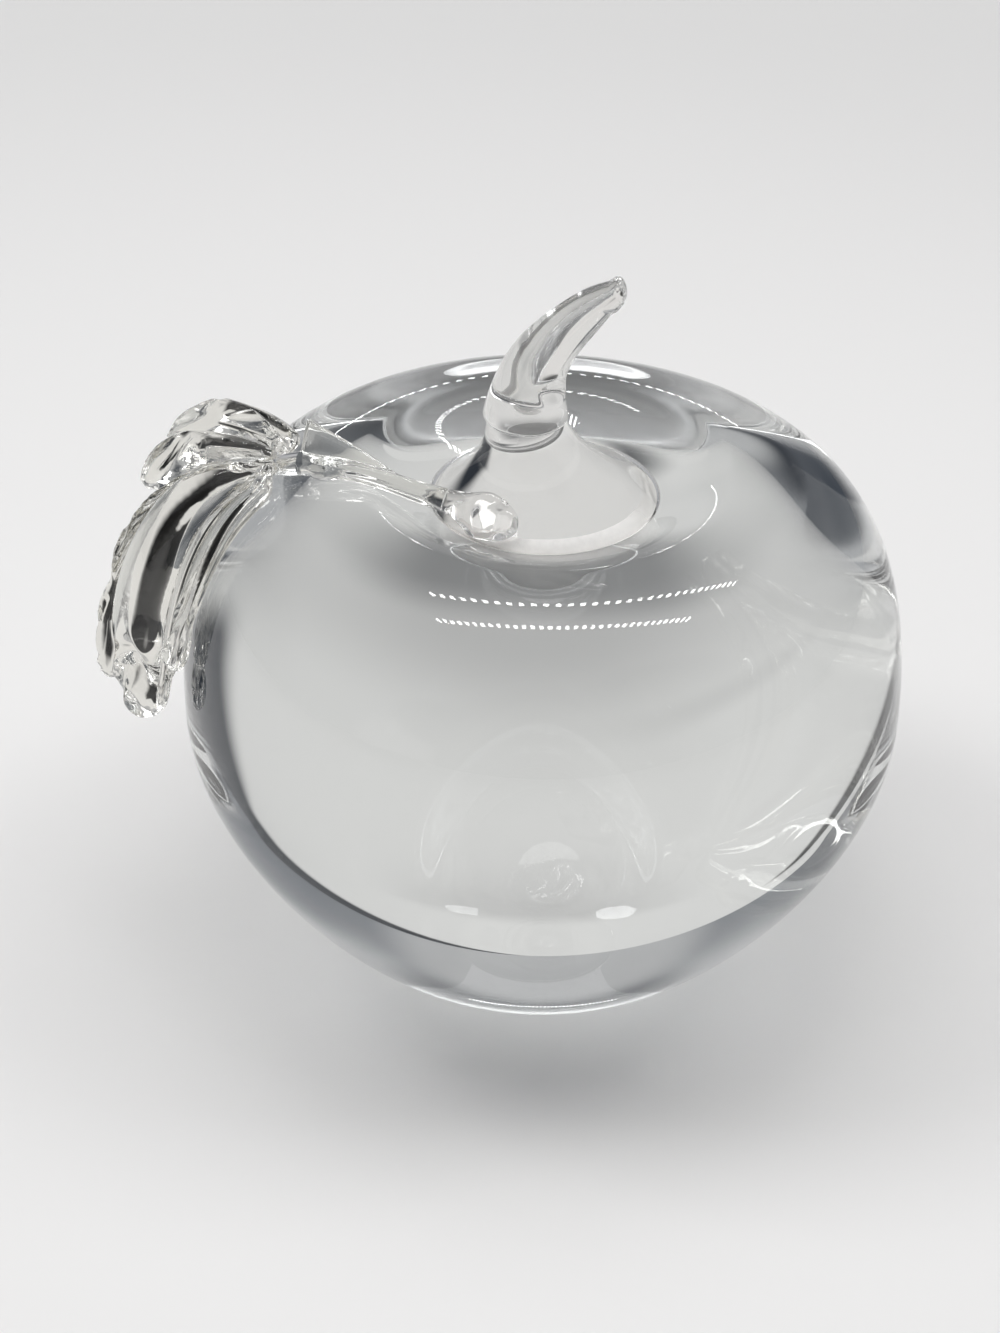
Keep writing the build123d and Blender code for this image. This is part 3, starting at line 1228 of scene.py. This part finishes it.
    def rounding(self, middle: np.ndarray) -> np.ndarray:
        """Share of the thickness near the outline: sqrt(1 - (1 - distance / edge_round)^2).

        Args:
            middle: Points of the middle sheet.

        Returns:
            The shares as (row, column).
        """
        free = middle[round(self.rows * self.free_from) :]
        outline = np.concatenate((middle[-1], free[:, 0], free[:, self.around // 2]))
        away = np.full(middle.shape[:2], np.inf)
        for stretch in np.array_split(outline, self.outline_parts):
            away = np.minimum(away, np.linalg.norm(middle[:, :, None] - stretch, axis=-1).min(axis=-1))
        return np.sqrt(1.0 - (1.0 - np.clip(away / self.edge_round, 0.0, 1.0)) ** 2)

    def half_thickness(self, fan: SmoothCurve, share: np.ndarray, read: np.ndarray) -> np.ndarray:
        """Thickness of the lobes over the middle sheet: (1 - off^2)^lobe_power over the groove's.

        Args:
            fan: The curve from rib to rib.
            share: Place of each column on the fan, with the margin.
            read: Places along the leaf as (row, column).

        Returns:
            The half thicknesses in mm as (row, column).
        """
        last, step = len(self.ribs) - 1, self.sample_step
        ends, thickness, pinch_place, pinch_depth = np.array(self.lobes).T
        starts = np.concatenate(((-self.margin - step,), ends[:-1]))
        lobe = np.clip(np.searchsorted(ends, share), 0, len(ends) - 1)
        half_span = (ends[lobe] - starts[lobe]) / 2
        off_middle = (share - (starts[lobe] + ends[lobe]) / 2) / half_span
        ribbing = np.clip(1.0 - off_middle**2, 0.0, 1.0) ** self.lobe_power
        ahead, behind = (fan.at(np.clip(np.clip(share, 0.0, last) + way, 0, last)) for way in (step, -step))
        spread = np.maximum(np.linalg.norm(ahead - behind, axis=-1) / (2 * step), self.least_width)
        room = self.lobe_room[0] * self.along(spread, read) * half_span + self.lobe_room[1]
        pinch = np.exp(-(((read - pinch_place[lobe]) / self.pinch_length) ** 2))
        swell = np.minimum(thickness[lobe] * (1.0 - pinch_depth[lobe] * pinch), room)
        return self.groove_thickness + (swell - self.groove_thickness).clip(0.0) * ribbing

    def build(self, shop: Workshop, body: AppleBody, joint: np.ndarray) -> bpy.types.Object:
        """Make the leaf.

        Each row is a loop that goes from the far edge over the leaf to the near
        edge and back under it. The first rows run from the stalk's loop into the
        blade.

        Args:
            shop: The finishes.
            body: The apple's body.
            joint: The stalk's last loop.

        Returns:
            The piece.
        """
        fan, turns = self.fan(body), turns_of(self.around)
        half_fan = (len(self.ribs) - 1) / 2
        share = half_fan - (half_fan + self.margin) * np.cos(turns)
        places = 1.0 - (1.0 - np.linspace(0.0, 1.0, self.rows)) ** 2
        read = places[:, None] * self.reaches(np.clip(share, 0.0, 2 * half_fan))
        opened = ease(places, 0.0, self.opening)[:, None]
        middle = self.middle_sheet(fan, share, read, opened)
        outward = unit(middle - UP * body.widest_height)
        half = self.half_thickness(fan, share, read) * self.rounding(middle)
        upper = np.sin(turns)
        side = np.where(np.abs(upper) < TINY, 0.0, np.where(upper > 0, 1.0, -self.under_share))
        blade = middle + self.normals(middle, turns, outward, opened) * (half * side)[..., None]
        turn_back = np.roll(joint[::-1], len(joint) // 2 + 1, axis=0)
        knots = np.linspace(0.0, 2 * np.pi, len(joint) + 1)
        ring = SmoothCurve(knots, np.vstack((turn_back, turn_back[:1]))).at(turns)
        mix = ease(places, 0.0, self.neck_share)[:, None, None]
        neck = ring[None] - joint.mean(axis=0) + middle[:, self.around // 4][:, None]
        loops = neck * (1 - mix) + blade * mix
        loops[0] = ring
        fused = np.arange(len(loops) + 1) == 0
        skin = Skin(loops, joint.mean(axis=0), closing=Closing.SEAM, fused=fused)
        piece = make_piece("leaf_glass", [skin], [shop.leaf_glass, shop.joint])
        return place_piece(piece, "leaf")


# The studio


@dataclass(frozen=True)
class TentCard:
    """Dark or pale card in the tent, which the glass shows as a band.

    Bearings go from the camera's side towards +X. All angles are in degrees, inner
    and outer those at which the card is full and gone.
    """

    bearing: float
    rise: float
    inner: float
    outer: float
    colour: str = "#343a43"

    def way(self) -> tuple[float, float, float]:
        """Direction of the card's middle."""
        turn, lift = math.radians(self.bearing), math.radians(self.rise)
        return (math.sin(turn) * math.cos(lift), -math.cos(turn) * math.cos(lift), math.sin(lift))


@dataclass(frozen=True)
class TentLamp:
    """Soft square lamp under the top of the tent, turned to the object."""

    name: str
    side: float                     # m, towards +X
    energy: float                   # W
    depth: float = 0.03
    height: float = 0.55
    size: float = 0.25
    through: bool = True            # the glass lets its light through to the floor

    def hang(self) -> None:
        """Make the lamp, out of the camera's and the highlights' sight."""
        data = bpy.data.lights.new(self.name, "AREA")
        data.shape, data.size, data.energy = "SQUARE", self.size, self.energy
        lamp = bpy.data.objects.new(self.name, data)
        lamp.location = (self.side, self.depth, self.height)
        lamp.rotation_euler = lamp.location.to_track_quat("Z", "Y").to_euler()
        bpy.context.scene.collection.objects.link(lamp)
        lamp.visible_camera = lamp.visible_glossy = False
        lamp.visible_transmission = self.through


class Measure(Enum):
    """How a place on the floor is measured, as the vector operation for it."""

    ALONG = "DOT_PRODUCT"
    FROM = "DISTANCE"


@dataclass(frozen=True)
class FloorCard:
    """Dark card on the floor, which only the light through the glass shows.

    Each edge is a measure with its vector, the direction to measure along or the
    point to measure from, and the measures in mm where the card starts and is
    full. The card lies where all its edges let it.
    """

    edges: tuple
    colour: str = "#2c3036"

    def lay(
        self, tree: bpy.types.NodeTree, place: bpy.types.NodeSocket, under: bpy.types.NodeSocket,
    ) -> bpy.types.NodeSocket:
        """Lay the card over a colour.

        Args:
            tree: The floor's node tree.
            place: The place on the floor.
            under: Colour of what lies under the card.

        Returns:
            The colour with the card.
        """
        cover = None
        for measure, vector, start, full in self.edges:
            if measure is Measure.FROM:
                vector = tuple(MM * part for part in vector)
            far = add_node(tree, "ShaderNodeVectorMath", {"operation": measure.value}, i0=place, i1=vector)
            edge = add_node(
                tree, "ShaderNodeMapRange", SMOOTH, Value=far.outputs["Value"],
                From_Min=start * MM, From_Max=full * MM,
            ).outputs[0]
            cover = edge if cover is None else add_node(
                tree, "ShaderNodeMath", {"operation": "MULTIPLY"}, i0=cover, i1=edge,
            ).outputs[0]
        return add_node(
            tree, "ShaderNodeMix", {"data_type": "RGBA"}, Factor=cover, i6=under, i7=linear(self.colour),
        ).outputs[2]


@dataclass
class Studio:
    """Pale light tent, dark towards the camera, with cards that the glass shows."""

    floor_reach: float = 1.6        # m
    floor_drop: float = 0.0001      # m, under the foot
    floor_colour: str = "#e6e5e4"
    backdrop_colour: str = "#e8e8e7"
    backdrop_reach: tuple = (0.18, 0.6)    # m from the object, where the floor runs up into it
    # What the glass shows of the floor: the dark at the foot, then half and full daylight
    shade_colours: tuple = ("#909090", "#bdbcbb", "#e0dfdd")
    shade_reaches: tuple = ((19.5, 26.5), (28.0, 50.0))    # mm
    shade_bends: tuple = (-0.03, 0.05)    # mm to the back for each square mm to the side
    shade_middle: tuple = (0.0, 12.0, 0.0)    # mm
    shade_rim: tuple = (22.0, 46.0)    # mm
    floor_cards: tuple = (
        FloorCard(
            ((Measure.ALONG, (1.0, -1.1, 0.0), -46.0, -37.0), (Measure.ALONG, (0.0, 1.0, 0.0), 40.0, 49.0)),
        ),
        FloorCard(
            ((Measure.ALONG, (1.0, 0.0, 0.0), 50.0, 90.0), (Measure.ALONG, (0.0, 1.0, 0.0), 50.0, 75.0)),
        ),
        FloorCard(
            ((Measure.ALONG, (-1.0, 0.0, 0.0), 46.0, 64.0), (Measure.FROM, (-98.0, 78.0, 0.0), 84.0, 60.0)),
            colour="#1b1a19",
        ),
    )
    low_colour: str = "#7f8286"
    wall_colour: str = "#aeafb1"
    top_colour: str = "#b4b4b5"
    # Heights on a ball round the object, where the walls and the top start and are full
    wall_rise: tuple = (0.05, 0.35)
    top_rise: tuple = (0.6, 0.9)
    cards: tuple = (
        TentCard(bearing=5.0, rise=12.0, inner=24.0, outer=46.0, colour="#2a2d32"),
        TentCard(bearing=45.0, rise=38.0, inner=14.0, outer=27.0),
        TentCard(bearing=-45.0, rise=2.0, inner=8.0, outer=15.0, colour="#c8c8c8"),
        TentCard(bearing=-35.0, rise=20.0, inner=7.0, outer=15.0, colour="#2c3036"),
        TentCard(bearing=135.0, rise=0.0, inner=10.0, outer=22.0, colour="#70747a"),
        TentCard(bearing=-115.0, rise=2.0, inner=16.0, outer=36.0, colour="#4b4f55"),
        TentCard(bearing=180.0, rise=28.0, inner=12.0, outer=26.0, colour="#3c4047"),
        TentCard(bearing=180.0, rise=2.0, inner=14.0, outer=24.0, colour="#b4b4b5"),
    )
    lamps: tuple = (
        TentLamp("left_tent_lamp", -0.38, 1.2),
        TentLamp("middle_tent_lamp", 0.0, 1.0, size=0.45),
        TentLamp("right_tent_lamp", 0.38, 0.85),
        TentLamp("top_tent_lamp", 0.0, 0.6, through=False),
    )
    strip_height: float = 360.0     # mm
    # Strips of diodes as (place to the back, first and last diode to the side, count), in mm
    strips: tuple = ((190.0, -70.0, 166.0, 32), (60.0, -92.0, 143.0, 34), (700.0, -150.0, 150.0, 40))
    diode_size: tuple = (3.2, 17.0)    # mm
    diode_strength: float = 24.0

    def shade(self, tree: bpy.types.NodeTree, place: bpy.types.NodeSocket) -> bpy.types.NodeSocket:
        """Colour of the floor round the foot, as the glass shows it.

        It goes from colour to colour with y + bend x^2, and to the last one
        outside a circle.

        Args:
            tree: The floor's node tree.
            place: The place on the floor.

        Returns:
            The colour.
        """
        axes = add_node(tree, "ShaderNodeSeparateXYZ", Vector=place).outputs
        wide = add_node(tree, "ShaderNodeMath", {"operation": "MULTIPLY"}, i0=axes["X"], i1=axes["X"])
        middle = tuple(MM * part for part in self.shade_middle)
        away = add_node(tree, "ShaderNodeVectorMath", {"operation": "DISTANCE"}, i0=place, i1=middle)
        measures = [
            add_node(
                tree, "ShaderNodeMath", {"operation": "MULTIPLY_ADD"},
                i0=wide.outputs[0], i1=bend / MM, i2=axes["Y"],
            ).outputs[0]
            for bend in self.shade_bends
        ]
        measures.append(away.outputs["Value"])
        colours = self.shade_colours + self.shade_colours[-1:]
        shown = linear(colours[0])
        reaches = self.shade_reaches + (self.shade_rim,)
        for measure, colour, (start, end) in zip(measures, colours[1:], reaches):
            reached = add_node(
                tree, "ShaderNodeMapRange", SMOOTH, Value=measure, From_Min=start * MM, From_Max=end * MM,
            )
            shown = add_node(
                tree, "ShaderNodeMix", {"data_type": "RGBA"},
                Factor=reached.outputs[0], i6=shown, i7=linear(colour),
            ).outputs[2]
        return shown

    def lay_floor(self) -> None:
        """Pale matt card under the object, which runs up into the backdrop for the camera."""
        material, tree, shader = new_material(
            "matt_white_card", Base_Color=linear(self.floor_colour), Roughness=0.6, Specular_IOR_Level=0.2,
        )
        place = add_node(tree, "ShaderNodeTexCoord").outputs["Object"]
        colour = self.shade(tree, place)
        for card in self.floor_cards:
            colour = card.lay(tree, place, colour)
        glow = add_node(tree, "ShaderNodeEmission", Color=colour, Strength=1.0)
        backdrop = add_node(tree, "ShaderNodeEmission", Color=linear(self.backdrop_colour), Strength=1.0)
        rays = add_node(tree, "ShaderNodeLightPath").outputs
        away = add_node(tree, "ShaderNodeVectorMath", {"operation": "LENGTH"}, i0=place)
        near, far = self.backdrop_reach
        run_up = add_node(
            tree, "ShaderNodeMapRange", SMOOTH, Value=away.outputs["Value"], From_Min=near, From_Max=far,
        )
        seen_far = add_node(
            tree, "ShaderNodeMath", {"operation": "MULTIPLY"}, i0=run_up.outputs[0], i1=rays["Is Camera Ray"],
        )
        card = add_node(
            tree, "ShaderNodeMixShader", i0=seen_far.outputs[0], i1=shader.outputs[0], i2=backdrop.outputs[0],
        )
        mixed = add_node(
            tree, "ShaderNodeMixShader",
            i0=rays["Is Transmission Ray"], i1=card.outputs[0], i2=glow.outputs[0],
        )
        tree.links.new(mixed.outputs[0], tree.nodes["Material Output"].inputs["Surface"])
        square = np.array(((-1, -1), (1, -1), (1, 1), (-1, 1)), float)
        floor = self.lay_plates("tent_floor", material, square * self.floor_reach, -self.floor_drop)

    @staticmethod
    def lay_plates(
        name: str, material: bpy.types.Material, corners: np.ndarray, height: float,
    ) -> bpy.types.Object:
        """Make level plates of four corners each.

        Args:
            name: Name of the object.
            material: Its material.
            corners: Corners as (x, y) in metres, four rows a plate.
            height: Height in metres.

        Returns:
            The new object, linked to the scene.
        """
        points = np.hstack((corners, np.full((len(corners), 1), height)))
        mesh = bpy.data.meshes.new(name)
        mesh.from_pydata(points.tolist(), [], np.arange(len(points)).reshape(-1, 4).tolist())
        mesh.materials.append(material)
        plates = bpy.data.objects.new(name, mesh)
        bpy.context.scene.collection.objects.link(plates)
        return plates

    def light_tent(self) -> None:
        """World with pale walls and the cards, which the camera sees as the backdrop."""
        world = bpy.data.worlds.new("light_tent")
        bpy.context.scene.world = world
        world.use_nodes = True
        tree = world.node_tree
        place = add_node(tree, "ShaderNodeTexCoord").outputs["Generated"]
        height = add_node(tree, "ShaderNodeSeparateXYZ", Vector=place).outputs["Z"]
        layers = [(height, *self.wall_rise, self.wall_colour), (height, *self.top_rise, self.top_colour)]
        for card in self.cards:
            near = add_node(
                tree, "ShaderNodeVectorMath", {"operation": "DOT_PRODUCT"}, i0=place, i1=card.way(),
            )
            gone, full = (math.cos(math.radians(angle)) for angle in (card.outer, card.inner))
            layers.append((near.outputs["Value"], gone, full, card.colour))
        shown = linear(self.low_colour)
        for measure, start, full, colour in layers:
            share = add_node(tree, "ShaderNodeMapRange", SMOOTH, Value=measure, From_Min=start, From_Max=full)
            shown = add_node(
                tree, "ShaderNodeMix", {"data_type": "RGBA"},
                Factor=share.outputs[0], i6=shown, i7=linear(colour),
            ).outputs[2]
        camera_ray = add_node(tree, "ShaderNodeLightPath").outputs["Is Camera Ray"]
        backdrop = linear(self.backdrop_colour)
        shown = add_node(
            tree, "ShaderNodeMix", {"data_type": "RGBA"}, Factor=camera_ray, i6=shown, i7=backdrop,
        ).outputs[2]
        tree.links.new(shown, tree.nodes["Background"].inputs["Color"])
        tree.nodes["Background"].inputs["Strength"].default_value = 1.0

    def hang_strips(self) -> None:
        """Strips of small diodes under the top of the tent, which show as rows of dots."""
        material, tree, _ = new_material("white_diode")
        tree.nodes.clear()
        glow = add_node(tree, "ShaderNodeEmission", Color=linear("#ffffff"), Strength=self.diode_strength)
        add_node(tree, "ShaderNodeOutputMaterial", Surface=glow.outputs[0])
        plate = np.array(((-0.5, -0.5), (0.5, -0.5), (0.5, 0.5), (-0.5, 0.5))) * self.diode_size
        corners = []
        for depth, first, last, count in self.strips:
            spots = np.stack((np.linspace(first, last, count), np.full(count, depth)), axis=-1)
            corners.append((spots[:, None] + plate[None]).reshape(-1, 2))
        strips = self.lay_plates("diode_strips", material, np.vstack(corners) * MM, self.strip_height * MM)
        strips.visible_diffuse = strips.visible_camera = False

    def build(self) -> None:
        """Floor, world and lamps."""
        self.lay_floor()
        self.light_tent()
        for lamp in self.lamps:
            lamp.hang()
        self.hang_strips()


@dataclass
class Viewpoint:
    """Camera of the photograph, fitted to the apple's outline.

    Lengths in mm and angles in degrees. The focal length is in pixels of the
    photograph's 1333 pixel long side.
    """

    elevation: float = 35.0
    roll: float = 0.35
    distance: float = 270.0
    target: tuple = (-4.69, 0.0, 33.8)
    focal_pixels: float = 2400.0
    long_side_pixels: float = 1333.0
    sensor: float = 36.0

    def build(self) -> None:
        """Make the scene's camera."""
        tilt, roll = math.radians(self.elevation), math.radians(self.roll)
        forward = Vector((0.0, math.cos(tilt), -math.sin(tilt)))
        level_up = Vector((0.0, math.sin(tilt), math.cos(tilt)))
        level_right = Vector((1.0, 0.0, 0.0))
        right = level_right * math.cos(roll) + level_up * math.sin(roll)
        upward = level_up * math.cos(roll) - level_right * math.sin(roll)
        data = bpy.data.cameras.new("photo_camera")
        data.sensor_width = self.sensor
        data.lens = self.focal_pixels / self.long_side_pixels * self.sensor
        data.clip_start = 0.01
        camera = bpy.data.objects.new("photo_camera", data)
        place = (Vector(self.target) - forward * self.distance) * MM
        turned = Matrix((right, upward, -forward)).transposed().to_4x4()
        camera.matrix_world = Matrix.Translation(place) @ turned
        bpy.context.scene.collection.objects.link(camera)
        bpy.context.scene.camera = camera


def main() -> None:
    """Build the studio, the apple and the leaf, and log each piece."""
    logging.basicConfig(level=logging.INFO, format="%(name)s: %(message)s")
    scene = bpy.context.scene
    scene.view_settings.view_transform = "Standard"
    for limit, bounces in BOUNCES.items():
        setattr(scene.cycles, limit, bounces)
    shop, body, seat, stem = Workshop(), AppleBody(), StemSeat(), Stem()
    pad, stalk, leaf = LeafPad(), LeafStalk(), Leaf()
    stalk_loops = stalk.loops(pad.grip_point(body, seat), leaf.root(body))
    pieces = [
        body.build(shop, seat.radius),
        seat.build(shop, body),
        stem.build(shop, body, seat),
        pad.build(shop, body, seat, stalk_loops[0]),
        stalk.build(shop, stalk_loops),
        leaf.build(shop, body, stalk_loops[-1]),
    ]
    for piece in pieces:
        LOG.info("%s: %d faces", piece.name, len(piece.data.polygons))
    Studio().build()
    Viewpoint().build()


if __name__ == "__main__":
    main()
